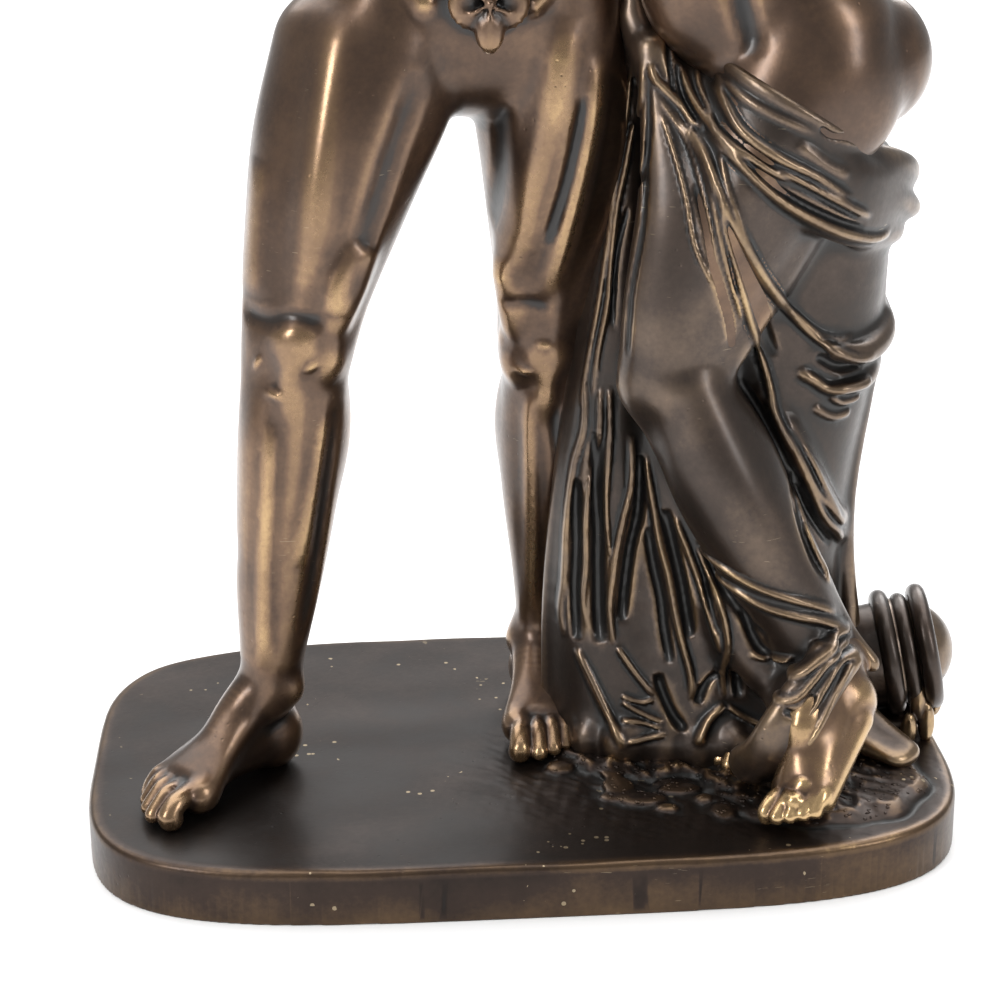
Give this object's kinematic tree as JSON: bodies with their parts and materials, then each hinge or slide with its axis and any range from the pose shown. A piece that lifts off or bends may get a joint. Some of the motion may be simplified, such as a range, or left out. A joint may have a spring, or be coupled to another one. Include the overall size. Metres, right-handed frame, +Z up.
{
  "type": "statue",
  "caption": "Cast bronze group of a standing man and a woman in draped cloth who lean together, with a quiver lying beside them, on a low rounded plinth.",
  "frame": {"origin": "centre of the plinth's underside", "axes": "+Z up, the front of the group faces -Y, +X runs along the plinth towards the quiver's end"},
  "size_m": [0.5156, 0.3152, 0.8759],
  "materials": {
    "bronze": "dark brown patinated bronze, rubbed golden on the raised parts"
  },
  "bodies": {
    "root": {"mars_and_venus_group": "bronze"}
  },
  "joints": []
}
